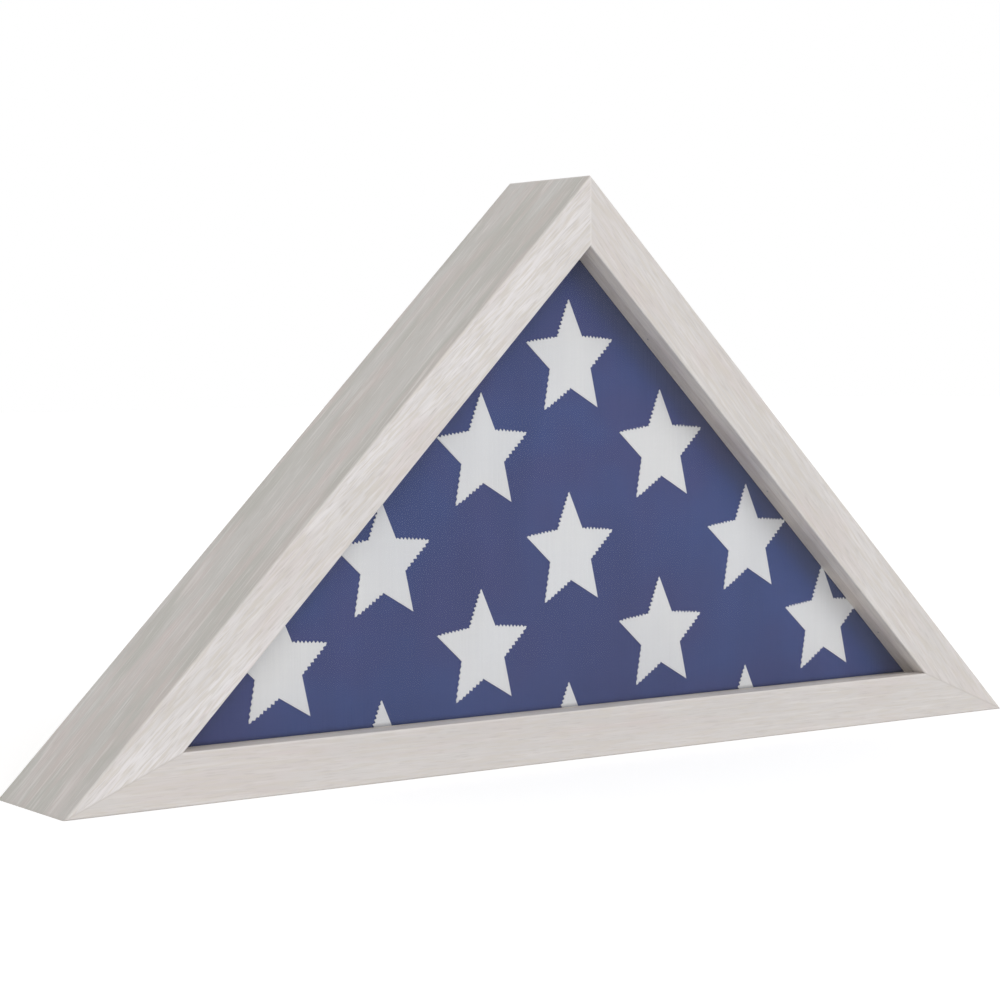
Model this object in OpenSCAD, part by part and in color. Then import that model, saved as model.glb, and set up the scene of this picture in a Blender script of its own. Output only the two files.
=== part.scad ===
// Folded flag display case: a deep, triangular shadow box of three mitred rails, with a clear pane at the
// front, a folded flag inside and a removable back panel held by turn buttons.
// The origin is on the underside of the base rail, half way along it and half way from front to back.
// The front faces -Y and the apex points to +Z.

/* [Case] */
// Width of the case across its base
case_w = 660; // [620:1:700]
// Slope of the two sloping rails above the base, in degrees
slope_deg = 45; // [44:0.5:46]
// Depth of the rails from front to rear
case_d = 79; // [74:0.5:90]

/* [Rails] */
// Width of each rail's front face
face_w = 28; // [26:0.5:30]
// Thickness of the front lip that covers the edge of the pane
lip_t = 10; // [7:0.5:13]
// Thickness of the rail's wall behind the lip
wall_t = 19; // [19:0.5:22]
// Width of the rabbet that the back panel lies in
rabbet_w = 5; // [4:0.5:5.5]
// Radius of the eased long edges
arris_r = 1; // [0.5:0.1:2]

/* [Glazing] */
// Thickness of the clear pane
pane_t = 2; // [1.5:0.1:4]
// Gap between the pane's edge and the rail's wall
pane_edge_gap = 1; // [0.5:0.1:2]
// Depth of the strips that hold the pane against the lip
strip_t = 10.1; // [7:0.1:12]
// Distance that the front lip stands further in than the strips behind it
strip_step = 1.2; // [0.5:0.1:2]
// Radius of the brads that pin the strips
brad_r = 0.6; // [0.4:0.05:1]
// Depth that a brad goes into the rail
brad_bite = 8; // [5:0.5:12]
// Spacing of the brads along the base strip
brad_pitch_base = 190; // [120:1:220]
// Spacing of the brads along a sloping strip
brad_pitch_slope = 130; // [80:1:150]

/* [Flag] */
// Gap between the flag and the sloping walls
flag_edge_gap = 1; // [0.5:0.1:3]
// Gap between the flag and the base rail that it stands on
flag_seat_gap = 0.3; // [0.2:0.1:0.5]
// Gap between the flag's faces and what lies before and behind it
flag_face_gap = 0.3; // [0.2:0.1:1]
// Radius of the flag's three corners
flag_corner_r = 7; // [5.5:0.5:10]
// Radius of the folds along the flag's edges
fold_r = 5; // [3:0.5:5.5]
// Thickness of the sewn stars
star_t = 0.5; // [0.3:0.1:1]
// Width of a star between its side points
star_w = 62.5; // [50:0.1:64]
// Height of a star from its top point to its feet
star_h = 63.5; // [50:0.1:66]
// Radius of a star's inner corners as a share of its points' radius
star_waist_share = 0.47; // [0.38:0.01:0.5]
// Spacing of neighbouring star columns
star_pitch_x = 65; // [60:0.1:68]
// Spacing of neighbouring star rows
star_pitch_z = 55.1; // [50:0.1:56]
// Height of the highest star's centre above the base
star_top_z = 226.6; // [210:0.1:230]

/* [Back panel] */
// Thickness of the back panel
panel_t = 5; // [3:0.5:8]
// Depth of the panel's rear face below the rails' rear face
panel_recess = 0.3; // [0.2:0.1:1]
// Gap between the panel's edge and the rabbet's wall
panel_edge_gap = 0.8; // [0.5:0.1:2]
// Gap between the panel's front and the ledge that it lies on
panel_seat_gap = 0.1; // [0.05:0.05:0.3]
// Length cut off each sharp corner of the panel
panel_nip = 6; // [3:0.5:10]

/* [Turn buttons] */
// Length of a turn button from its screw to its tip
button_len = 20; // [17:0.5:26]
// Radius of the round end at the screw
button_head_r = 5; // [4.5:0.1:6]
// Radius of the finger's tip
button_tip_r = 3.2; // [2.5:0.1:4]
// Thickness of the stamped plate
button_t = 1.2; // [0.8:0.1:2]
// Running gap between a turn button and the rail
button_gap = 0.1; // [0.05:0.05:0.2]
// Half the width of the rib pressed into the finger
rib_r = 1.2; // [0.8:0.1:1.6]
// Height of that rib over the plate
rib_h = 0.6; // [0.3:0.1:1]
// Distance from the edge of the screw's head to the start of the rib
rib_from_head = 1.6; // [1.3:0.1:2.5]
// Distance between the two turn buttons of the base rail
button_span_base = 300; // [240:1:360]
// Distance between the two turn buttons of a sloping rail
button_span_slope = 220; // [190:1:250]

/* [Screws and nails] */
// Radius of a screw's shank
screw_r = 1.75; // [1.5:0.05:2]
// Length of a screw below its head
screw_len = 16; // [12:0.5:25]
// Radius of a pan head
screw_head_r = 3.4; // [3:0.1:3.7]
// Height of a pan head
screw_head_t = 2.4; // [2:0.1:2.8]
// Length of one leg of a corner wedge nail
v_leg = 5; // [4:0.1:6]
// Thickness of a corner wedge nail
v_t = 0.6; // [0.4:0.1:0.9]
// Depth that a corner wedge nail is driven
v_depth = 10; // [7:0.5:15]

/* [Hangers] */
// Distance from the middle of a sloping rail up to the bar of its hanger ring
hanger_rise = 57; // [40:1:70]
// Width of the hanger strap
strap_w = 7; // [6.9:0.1:7.2]
// Length of the strap from the ring's bar to its end
strap_len = 21; // [19:0.5:25]
// Thickness of one layer of the folded strap
strap_t = 0.8; // [0.7:0.1:1]
// Radius of the ring's wire
wire_r = 0.8; // [0.6:0.1:0.8]
// Distance between the centre lines of the ring's two legs
ring_w = 9.2; // [9.1:0.1:10]
// Length of the ring's straight legs
ring_leg = 6.2; // [6:0.1:8]
// Gap between the head of the strap's screw and the loop round the bar
strap_head_gap = 0.45; // [0.3:0.05:0.6]

/* [Bumpers] */
// Radius of a rubber wall bumper
bumper_r = 5; // [4:0.1:6]
// Height of a wall bumper, more than any screw head's
bumper_t = 5; // [4.8:0.1:8]
// Width of the bevel round a bumper's flat end
bumper_bevel = 1.2; // [0.5:0.1:2]
// Distance from the end of the base rail to a bumper
bumper_from_end = 60; // [50:1:90]

/* [Hidden] */

// Number of sides that a full circle is drawn with
$fn = 48;
// Clearance round every screw, nail and brad in the wood
driven_gap = 0.02;
// Running clearance of a bore on the screw or wire that it turns on
run_gap = 0.05;
// Overrun of every cutting tool past the face it cuts
over = 1;
// Share of a round end's radius at which a straight flank meets it, just inside the end's widest point
flank_share = 0.95;

// The outer triangle, drawn as X and Z, and the centre that its mitres meet in
half_w = case_w / 2;
case_h = half_w * tan(slope_deg);
mitre_centre = [0, half_w * tan(slope_deg / 2)];
corners = [[-half_w, 0], [half_w, 0], [0, case_h]];

// The sides are the base rail, the right rail and the left rail, each run from one corner to the next
BASE = 0;
RIGHT = 1;
LEFT = 2;
slope_len = half_w / cos(slope_deg);
side_len = [case_w, slope_len, slope_len];
side_turn = [0, slope_deg - 180, 180 - slope_deg];
button_span = [button_span_base, button_span_slope, button_span_slope];
brad_pitch = [brad_pitch_base, brad_pitch_slope, brad_pitch_slope];

// Depths from the front face, in the order in which the pieces lie
strip_front = lip_t + pane_t;
strip_back = strip_front + strip_t;
star_front = strip_back + flag_face_gap;
flag_front = star_front + star_t;
panel_front = case_d - panel_recess - panel_t;
ledge_depth = panel_front - panel_seat_gap;
flag_back = ledge_depth - flag_face_gap;

// Widths from the outer face of a rail inwards
land_w = wall_t - rabbet_w;
strip_w = face_w - wall_t - strip_step;
flag_inset = wall_t + flag_edge_gap;
flag_drop = flag_edge_gap - flag_seat_gap;

// The star columns of each row, counted from the middle, and the small drift of hand-set stars as a share
// of their pitch
star_rows = [[0], [-1, 1], [-2, 0, 2], [-3, -1, 1, 3], [-2, 0, 2]];
column_drift = star_pitch_x * [0.025, 0.039, 0.067, 0.008, 0.035, 0.059, 0.02];
row_drift = star_pitch_z * [0, 0.039, 0.008, 0.043, 0.008];

// Distances of the wedge nails from a corner, along its mitre
v_places = [[12, 24], [12, 24], [9]];

// The hanger's loop round the ring's bar, the bar's height over the wood, the place where the bow crosses
// the strap's edges, and the slope at which the ring lies on them
loop_r = wire_r + run_gap + strap_t;
bar_y = loop_r + run_gap;
strap_screw_x = loop_r + strap_head_gap + screw_head_r;
ring_rest_gap = 0.15;
ring_rest = ring_leg + sqrt(pow(ring_w / 2, 2) - pow(strap_w / 2, 2));
ring_tilt = asin((2 * strap_t + wire_r + ring_rest_gap - bar_y) / ring_rest);

// The three corners of the outer triangle moved inwards by d
function inset(d) = [for (c = corners) mitre_centre + (c - mitre_centre) * (1 - d / mitre_centre[1])];

// The unit vector from corner k towards the mitre centre
function mitre_dir(k) = (mitre_centre - corners[k]) / norm(mitre_centre - corners[k]);

// The screws in the rear of side i: two for its turn buttons, and one for a hanger on a slope
function button_spots(i) = [-button_span[i] / 2, button_span[i] / 2];
function hanger_bar_s(i) = i == RIGHT ? hanger_rise : -hanger_rise;
function hanger_screw_s(i) = i == RIGHT ? hanger_rise - strap_screw_x : strap_screw_x - hanger_rise;

// Extrudes an X-Z drawing from depth d0 to depth d1
module slab(d0, d1) {
    translate([0, d1 - case_d / 2, 0])
        rotate([90, 0, 0])
            linear_extrude(d1 - d0)
                children();
}

// Places children on side i: X along the side, Y the depth, Z inwards from the outer face
module on_side(i, s = 0, depth = 0, inwards = 0) {
    middle = (corners[i] + corners[(i + 1) % 3]) / 2;
    translate([middle[0], -case_d / 2, middle[1]])
        rotate([0, side_turn[i], 0])
            translate([s, depth, inwards])
                children();
}

// Runs a section, drawn as depth and inset, along the whole of side i
module run_along(i) {
    on_side(i)
        rotate([90, 0, 90])
            linear_extrude(side_len[i], center = true)
                children();
}

// The part of space that belongs to side i: what lies between the mitres at its two ends
module mitre_wedge(i) {
    stretch = 1.05;
    a = corners[i];
    b = corners[(i + 1) % 3];
    slab(-over, case_d + over)
        polygon([mitre_centre, mitre_centre + (a - mitre_centre) * stretch,
                 mitre_centre + (b - mitre_centre) * stretch]);
}

// What is cut away to round the corner of a section at the origin, with the wood towards +X and +Y
module ease(r) {
    difference() {
        translate([-over, -over])
            square(r + over);
        translate([r, r])
            circle(r);
    }
}

// The moulding's section: front lip, deep wall, rear rabbet and eased edges
module rail_section() {
    difference() {
        union() {
            square([lip_t, face_w]);
            square([case_d, wall_t]);
        }
        translate([ledge_depth, land_w])
            square([case_d - ledge_depth + over, rabbet_w + over]);
        ease(arris_r);
        translate([0, face_w])
            rotate(-90)
                ease(arris_r);
        translate([case_d, 0])
            rotate(90)
                ease(arris_r);
        translate([case_d, land_w])
            rotate(180)
                ease(arris_r / 2);
    }
}

module rail(i) {
    difference() {
        intersection() {
            run_along(i)
                rail_section();
            mitre_wedge(i);
        }
        for (s = button_spots(i))
            on_side(i, s, case_d, land_w / 2)
                screw_hole();
        if (i != BASE)
            on_side(i, hanger_screw_s(i), case_d, land_w / 2)
                screw_hole();
        brads(i, driven_gap);
        for (k = [i, (i + 1) % 3])
            corner_nails(k, driven_gap);
    }
}

module left_rail() {
    color([0.82, 0.81, 0.79])
        rail(LEFT);
}

module right_rail() {
    color([0.84, 0.83, 0.81])
        rail(RIGHT);
}

module base_rail() {
    color([0.83, 0.82, 0.8])
        rail(BASE);
}

// The wedge nails across the mitre of corner k, each a V whose legs reach into both rails
module corner_nails(k, gap) {
    dir = mitre_dir(k);
    slab(case_d - v_depth - gap, case_d + (gap > 0 ? over : 0))
        for (place = v_places[k])
            translate(corners[k] + dir * place)
                rotate(atan2(dir[1], dir[0]))
                    for (side = [-1, 1])
                        rotate(45 * side)
                            translate([-v_t / 2 - gap, -v_t / 2 - gap])
                                square([v_leg + 2 * gap, v_t + 2 * gap]);
}

module corner_v_nails() {
    color([0.6, 0.6, 0.62])
        for (k = [0 : 2])
            corner_nails(k, 0);
}

module glazing_pane() {
    color([0.85, 0.93, 0.95, 0.3])
        slab(lip_t, strip_front)
            polygon(inset(wall_t + pane_edge_gap));
}

module glazing_strip(i) {
    difference() {
        intersection() {
            run_along(i)
                translate([strip_front, wall_t])
                    square([strip_t, strip_w]);
            mitre_wedge(i);
        }
        brads(i, driven_gap);
    }
}

module left_glazing_strip() {
    color([0.76, 0.75, 0.73])
        glazing_strip(LEFT);
}

module right_glazing_strip() {
    color([0.76, 0.75, 0.73])
        glazing_strip(RIGHT);
}

module base_glazing_strip() {
    color([0.76, 0.75, 0.73])
        glazing_strip(BASE);
}

// The brads of side i, driven outwards through the strip; a gap above 0 gives the holes for them
module brads(i, gap) {
    brad_len = strip_w + brad_bite;
    for (k = [-1 : 1])
        on_side(i, k * brad_pitch[i], strip_front + strip_t / 2, wall_t - brad_bite - gap)
            cylinder(r = brad_r + gap, h = brad_len + gap + (gap > 0 ? over : 0), $fn = 24);
}

module strip_brads() {
    color([0.7, 0.7, 0.72])
        for (i = [BASE, RIGHT, LEFT])
            brads(i, 0);
}

// One corner of the folded bundle: a disc with its two rims rounded like folds
module flag_corner() {
    rotate([90, 0, 0])
        rotate_extrude($fn = 32) {
            square([flag_corner_r - fold_r, flag_back - flag_front]);
            translate([0, fold_r])
                square([flag_corner_r, flag_back - flag_front - 2 * fold_r]);
            for (y = [fold_r, flag_back - flag_front - fold_r])
                translate([flag_corner_r - fold_r, y])
                    intersection() {
                        circle(fold_r, $fn = 32);
                        translate([0, -fold_r])
                            square([fold_r, 2 * fold_r]);
                    }
        }
}

module folded_flag() {
    color([0.29, 0.34, 0.5])
        hull()
            for (c = inset(flag_inset + flag_corner_r))
                translate([c[0], flag_back - case_d / 2, c[1] - flag_drop])
                    flag_corner();
}

// A five-pointed star, one point up, drawn round its centre
module star() {
    rx = star_w / 2 / cos(18);
    rz = star_h / (1 + cos(36));
    polygon([for (k = [0 : 9])
        let (share = k % 2 == 0 ? 1 : star_waist_share)
        [rx * share * sin(36 * k), rz * share * cos(36 * k)]]);
}

module flag_stars() {
    color([0.86, 0.87, 0.88])
        slab(star_front, flag_front)
            intersection() {
                translate([0, -flag_drop])
                    polygon(inset(flag_inset + fold_r));
                for (row = [0 : len(star_rows) - 1])
                    for (column = star_rows[row])
                        translate([star_pitch_x * column + column_drift[column + 3],
                                   star_top_z - star_pitch_z * row + row_drift[row]])
                            star();
            }
}

module back_panel() {
    edge = inset(land_w + panel_edge_gap);
    color([0.6, 0.47, 0.34])
        slab(panel_front, panel_front + panel_t)
            intersection() {
                polygon(edge);
                translate([edge[0][0] + panel_nip, 0])
                    square([edge[1][0] - edge[0][0] - 2 * panel_nip, edge[2][1] - panel_nip]);
            }
}

// The outline of a turn button: two round ends joined by a tapered finger, with the screw at the origin
module button_outline() {
    reach = button_len - button_tip_r;
    circle(button_head_r);
    translate([reach, 0])
        circle(button_tip_r);
    polygon([
        [0, -flank_share * button_head_r],
        [reach, -flank_share * button_tip_r],
        [reach, flank_share * button_tip_r],
        [0, flank_share * button_head_r]
    ]);
}

// The outline of the pressed rib along a turn button's finger
module rib_outline() {
    rib_start = screw_head_r + rib_from_head;
    rib_end = button_len - button_tip_r;
    for (x = [rib_start, rib_end])
        translate([x, 0])
            circle(rib_r);
    translate([rib_start, -flank_share * rib_r])
        square([rib_end - rib_start, 2 * flank_share * rib_r]);
}

// A turn button in its open place along the rail, with its finger towards the middle of the rail
module turn_button(i, s) {
    on_side(i, s, case_d + button_gap, land_w / 2)
        rotate([0, s > 0 ? 180 : 0, 0])
            difference() {
                union() {
                    translate([0, button_t, 0])
                        rotate([90, 0, 0])
                            linear_extrude(button_t)
                                button_outline();
                    translate([0, button_t + rib_h, 0])
                        rotate([90, 0, 0])
                            linear_extrude(button_t)
                                rib_outline();
                }
                rotate([90, 0, 0])
                    cylinder(r = screw_r + run_gap, h = 2 * (button_t + over), center = true);
            }
}

module turn_button_base_left() {
    color([0.25, 0.25, 0.26])
        turn_button(BASE, -button_span_base / 2);
}

module turn_button_base_right() {
    color([0.25, 0.25, 0.26])
        turn_button(BASE, button_span_base / 2);
}

module turn_button_right_lower() {
    color([0.25, 0.25, 0.26])
        turn_button(RIGHT, -button_span_slope / 2);
}

module turn_button_right_upper() {
    color([0.25, 0.25, 0.26])
        turn_button(RIGHT, button_span_slope / 2);
}

module turn_button_left_upper() {
    color([0.25, 0.25, 0.26])
        turn_button(LEFT, -button_span_slope / 2);
}

module turn_button_left_lower() {
    color([0.25, 0.25, 0.26])
        turn_button(LEFT, button_span_slope / 2);
}

// The hole that a screw leaves in the wood, from the rail's rear face inwards
module screw_hole() {
    rotate([90, 0, 0])
        translate([0, 0, -over])
            cylinder(r = screw_r + driven_gap, h = screw_len + over);
}

// A pan-head wood screw with its head's underside at the origin and its head towards +Y
module screw() {
    tip = 2 * screw_r;
    dome_r = 1.5 * screw_head_r;
    slot = [1.3 * screw_head_r, 0.26 * screw_head_r, 0.6 * screw_head_t];
    rotate([-90, 0, 0]) {
        translate([0, 0, tip - screw_len])
            cylinder(r = screw_r, h = screw_len - tip);
        translate([0, 0, -screw_len])
            cylinder(r1 = 0, r2 = screw_r, h = tip);
        difference() {
            rotate_extrude()
                intersection() {
                    square([screw_head_r, screw_head_t]);
                    translate([0, screw_head_t - dome_r])
                        circle(dome_r, $fn = 96);
                }
            for (turn = [0, 90])
                rotate(turn)
                    translate([-slot[0] / 2, -slot[1] / 2, screw_head_t - slot[2]])
                        cube([slot[0], slot[1], slot[2] + over]);
        }
    }
}

module turn_button_screws() {
    color([0.3, 0.3, 0.31])
        for (i = [BASE, RIGHT, LEFT])
            for (s = button_spots(i))
                on_side(i, s, case_d + button_gap + button_t + run_gap, land_w / 2)
                    screw();
}

// Places children at the bar of the hanger ring on side i, with +X up the slope and Y off the wood
module at_hanger(i) {
    on_side(i, hanger_bar_s(i), case_d, land_w / 2)
        rotate([0, i == LEFT ? 180 : 0, 0])
            children();
}

// The strap: two layers folded round the ring's bar, with a round end and a screw hole
module hanger_strap() {
    fold = flank_share * loop_r * [cos(120), sin(120)];
    difference() {
        linear_extrude(strap_w, center = true) {
            translate([0, bar_y])
                circle(loop_r);
            polygon([
                [0, 0],
                [0, bar_y - loop_r + strap_t / 2],
                [fold[0], bar_y + fold[1]],
                [run_gap + screw_head_r - strap_screw_x, 2 * strap_t],
                [-strap_len, 2 * strap_t],
                [-strap_len, 0]
            ]);
        }
        rotate([90, 0, 0])
            linear_extrude(6 * loop_r, center = true)
                difference() {
                    translate([-strap_len - over, -strap_w / 2 - over])
                        square([strap_w / 2 + over, strap_w + 2 * over]);
                    translate([strap_w / 2 - strap_len, 0])
                        circle(strap_w / 2);
                }
        translate([0, bar_y, 0])
            cylinder(r = wire_r + run_gap, h = strap_w + 2 * over, center = true);
        translate([-strap_screw_x, 0, 0])
            rotate([90, 0, 0])
                cylinder(r = screw_r + driven_gap, h = 6 * loop_r, center = true);
    }
}

module hanger_strap_left() {
    color([0.72, 0.72, 0.74])
        at_hanger(LEFT)
            hanger_strap();
}

module hanger_strap_right() {
    color([0.72, 0.72, 0.74])
        at_hanger(RIGHT)
            hanger_strap();
}

// The D-shaped ring: bar, two legs and a round bow, lying back over its strap
module d_ring() {
    bow_r = ring_w / 2;
    translate([0, bar_y, 0])
        rotate([0, 0, -ring_tilt]) {
            cylinder(r = wire_r, h = ring_w, center = true);
            for (side = [-1, 1]) {
                translate([0, 0, side * bow_r])
                    sphere(wire_r);
                translate([-ring_leg, 0, side * bow_r])
                    rotate([0, 90, 0])
                        cylinder(r = wire_r, h = ring_leg);
            }
            translate([-ring_leg, 0, 0])
                rotate([90, 0, 0])
                    rotate(90)
                        rotate_extrude(angle = 180)
                            translate([bow_r, 0])
                                circle(wire_r);
        }
}

module d_ring_left() {
    color([0.76, 0.76, 0.78])
        at_hanger(LEFT)
            d_ring();
}

module d_ring_right() {
    color([0.76, 0.76, 0.78])
        at_hanger(RIGHT)
            d_ring();
}

module hanger_screws() {
    color([0.72, 0.72, 0.74])
        for (i = [RIGHT, LEFT])
            at_hanger(i)
                translate([-strap_screw_x, 2 * strap_t, 0])
                    screw();
}

// The rubber bumpers: short bevelled discs on the rear of the base rail, with a flat end for the wall
module wall_bumpers() {
    color([0.2, 0.2, 0.2])
        for (side = [-1, 1])
            on_side(BASE, side * (half_w - bumper_from_end), case_d, land_w / 2)
                rotate([-90, 0, 0]) {
                    cylinder(r = bumper_r, h = bumper_t - bumper_bevel);
                    translate([0, 0, bumper_t - bumper_bevel])
                        cylinder(r1 = bumper_r, r2 = bumper_r - bumper_bevel, h = bumper_bevel);
                }
}

left_rail();
right_rail();
base_rail();
corner_v_nails();
glazing_pane();
left_glazing_strip();
right_glazing_strip();
base_glazing_strip();
strip_brads();
folded_flag();
flag_stars();
back_panel();
turn_button_base_left();
turn_button_base_right();
turn_button_right_lower();
turn_button_right_upper();
turn_button_left_upper();
turn_button_left_lower();
turn_button_screws();
hanger_strap_left();
hanger_strap_right();
d_ring_left();
d_ring_right();
hanger_screws();
wall_bumpers();
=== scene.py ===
"""Dresses the folded flag display case: whitewashed rails, pane, folded flag with sewn stars, back and fittings."""

import logging
import math
import random
from dataclasses import dataclass
from enum import Enum
from typing import Callable, Iterable, Sequence

import bmesh
import bpy
from mathutils import Euler, Matrix, Vector


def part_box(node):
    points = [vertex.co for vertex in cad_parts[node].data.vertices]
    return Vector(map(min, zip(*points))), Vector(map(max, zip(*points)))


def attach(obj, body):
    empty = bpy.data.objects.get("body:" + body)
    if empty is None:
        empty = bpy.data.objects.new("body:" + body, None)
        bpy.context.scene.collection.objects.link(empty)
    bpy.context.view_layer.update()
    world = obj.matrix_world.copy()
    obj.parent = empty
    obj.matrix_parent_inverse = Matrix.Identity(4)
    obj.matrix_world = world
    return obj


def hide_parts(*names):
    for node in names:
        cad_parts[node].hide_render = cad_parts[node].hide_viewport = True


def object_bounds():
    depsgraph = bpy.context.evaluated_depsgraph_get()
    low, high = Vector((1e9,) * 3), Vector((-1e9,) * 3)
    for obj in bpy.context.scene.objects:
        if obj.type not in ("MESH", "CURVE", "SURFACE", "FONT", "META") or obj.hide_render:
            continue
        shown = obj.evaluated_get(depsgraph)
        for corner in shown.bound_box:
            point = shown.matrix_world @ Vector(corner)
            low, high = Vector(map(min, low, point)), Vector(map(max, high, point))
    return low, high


logging.basicConfig(level=logging.INFO, format="%(message)s")
log = logging.getLogger("flag_case")

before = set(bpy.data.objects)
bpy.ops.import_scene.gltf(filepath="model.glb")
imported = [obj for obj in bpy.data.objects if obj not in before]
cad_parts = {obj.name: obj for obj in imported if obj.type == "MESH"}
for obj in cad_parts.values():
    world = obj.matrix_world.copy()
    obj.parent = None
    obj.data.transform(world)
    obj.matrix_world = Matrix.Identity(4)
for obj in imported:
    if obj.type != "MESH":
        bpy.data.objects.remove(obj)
CAD_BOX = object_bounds()

MM = 0.001
WHITE = (1.0, 1.0, 1.0, 1.0)
SMOOTH = {"interpolation_type": "SMOOTHSTEP"}
Pair = tuple[float, float]
Triple = tuple[float, float, float]
Socket = bpy.types.NodeSocket
Material = bpy.types.Material
Settings = dict[str | int, object]
Links = dict[str | int, Socket]


# ---- colours and nodes


def linear(hex_colour: str) -> tuple[float, float, float, float]:
    """Turns an sRGB hex colour into linear light.

    Args:
        hex_colour: six hex digits after a hash sign.

    Returns:
        Red, green, blue and a full alpha.
    """
    parts = [int(hex_colour[i : i + 2], 16) / 255 for i in (1, 3, 5)]
    curve = [c / 12.92 if c <= 0.04045 else ((c + 0.055) / 1.055) ** 2.4 for c in parts]
    return (curve[0], curve[1], curve[2], 1.0)


def add(
    tree: bpy.types.NodeTree,
    kind: str,
    settings: Settings | None = None,
    links: Links | None = None,
    out: str | int = 0,
) -> Socket:
    """Adds one node with its settings and links.

    Args:
        tree: the node tree that the node goes into.
        kind: the node's type name, without the ShaderNode before it.
        settings: lower-case names are the node's own properties, and the rest are its input sockets.
        links: what feeds the named or numbered input sockets.
        out: the name or number of the output that is wanted.

    Returns:
        That output of the new node.
    """
    node = tree.nodes.new(f"ShaderNode{kind}")
    for name, value in (settings or {}).items():
        if isinstance(name, str) and name[0].islower():
            setattr(node, name, value)
        else:
            node.inputs[name].default_value = value
    for name, socket in (links or {}).items():
        tree.links.new(socket, node.inputs[name])
    return node.outputs[out]


class Shading:
    """A material under construction: one Principled shader and the patterns that feed it."""

    def __init__(self, name: str, **shader: object) -> None:
        """Starts the material.

        Args:
            name: the material's name.
            **shader: plain values for the shader's sockets, with underscores for spaces.
        """
        self.material = bpy.data.materials.new(name)
        self.material.use_nodes = True
        self.tree = self.material.node_tree
        self.shader = self.tree.nodes["Principled BSDF"]
        for key, value in shader.items():
            self.shader.inputs[key.replace("_", " ")].default_value = value
        self.place = add(self.tree, "TexCoord", out="Object")

    def blotches(self, at: Socket, size_mm: Triple, low: float, high: float, detail: float = 2.0) -> Socket:
        """Soft blotches of a real size, which long sizes draw out to streaks.

        Args:
            at: the coordinates to use.
            size_mm: the blotches' length along X, Y and Z, in millimetres.
            low: the cloud's value where the blotches end.
            high: the cloud's value where they are full.
            detail: how many finer layers are added.

        Returns:
            A share from 0 to 1.
        """
        per_metre = tuple(1 / (size * MM) for size in size_mm)
        fitted = add(self.tree, "VectorMath", {"operation": "MULTIPLY", 1: per_metre}, {0: at})
        settings = {"Scale": 1.0, "Detail": detail, "Roughness": 0.55}
        cloud = add(self.tree, "TexNoise", settings, {"Vector": fitted})
        return add(self.tree, "MapRange", {**SMOOTH, "From Min": low, "From Max": high}, {"Value": cloud})

    def near(self, measure: Socket, place: float, full: float, gone: float) -> Socket:
        """Where a measure lies near one place, as at an edge or a seam.

        Args:
            measure: the measure, such as a coordinate in metres.
            place: its value at the place.
            full: how far from the place the share stays 1.
            gone: how far from the place it has fallen to 0.

        Returns:
            A share from 0 to 1.
        """
        apart = add(self.tree, "Math", {"operation": "SUBTRACT", 1: place}, {0: measure})
        off = add(self.tree, "Math", {"operation": "ABSOLUTE"}, {0: apart})
        limits = {"From Min": full, "From Max": gone, "To Min": 1.0, "To Max": 0.0}
        return add(self.tree, "MapRange", {**SMOOTH, **limits}, {"Value": off})

    def coat(self, under: Socket | str, over: Socket | str, most: float, *shares: Socket) -> Socket:
        """Lays one colour over another.

        Args:
            under: the colour so far, as hex or a socket.
            over: the colour laid on it, as hex or a socket.
            most: how thick it lies where every share is 1.
            *shares: where it lies, each from 0 to 1; with none, it lies all over.

        Returns:
            The mixed colour.
        """
        settings: Settings = {"data_type": "RGBA"}
        links: Links = {}
        if shares:
            thickness = add(self.tree, "Math", {"operation": "MULTIPLY", 1: most}, {0: shares[0]})
            for share in shares[1:]:
                thickness = add(self.tree, "Math", {"operation": "MULTIPLY"}, {0: thickness, 1: share})
            links[0] = thickness
        else:
            settings[0] = most
        # A Mix node's colours are inputs 6 and 7, and the mixed one is output 2
        for slot, colour in ((6, under), (7, over)):
            if isinstance(colour, str):
                settings[slot] = linear(colour)
            else:
                links[slot] = colour
        return add(self.tree, "Mix", settings, links, out=2)

    def finish(self, colour: Socket, height: Socket, depth_mm: float, strength: float,
               polish: Socket | None = None, rough: Pair = (0.0, 1.0)) -> Material:
        """Feeds the shader and hands the material over.

        Args:
            colour: the surface's colour.
            height: the relief, from 0 to 1.
            depth_mm: how deep the relief is, in millimetres.
            strength: how much of it the light shows.
            polish: the pattern that its roughness follows, or None to keep the plain value.
            rough: the roughness where that pattern is 0, and where it is 1.

        Returns:
            The finished material.
        """
        self.tree.links.new(colour, self.shader.inputs["Base Color"])
        if polish is not None:
            limits = {"To Min": rough[0], "To Max": rough[1]}
            roughness = add(self.tree, "MapRange", {**SMOOTH, **limits}, {"Value": polish})
            self.tree.links.new(roughness, self.shader.inputs["Roughness"])
        bump = add(self.tree, "Bump", {"Strength": strength, "Distance": depth_mm * MM}, {"Height": height})
        self.tree.links.new(bump, self.shader.inputs["Normal"])
        return self.material


# ---- finishes


@dataclass(frozen=True)
class RailRun:
    """How one side of the triangle lies, which sets the direction of its grain.

    The grain of sawn stock seldom runs quite true, so each rail's is a few degrees off its length: swerve_deg on the
    front face, and lean_deg on the side walls. Each was cut from another board, so figure says how strongly its
    grain shows, and dull how much duller the wash dried on it. shift sets its pattern apart from its neighbours'.
    """

    name: str
    turn_deg: float
    shift: Triple
    outer_at: float
    inwards: float
    swerve_deg: float
    lean_deg: float
    dull: float
    figure: float

    def from_outer(self, inset: float) -> float:
        """The turned Z coordinate that lies this far in from the rail's outer face, in metres."""
        return self.outer_at + self.inwards * inset


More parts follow.
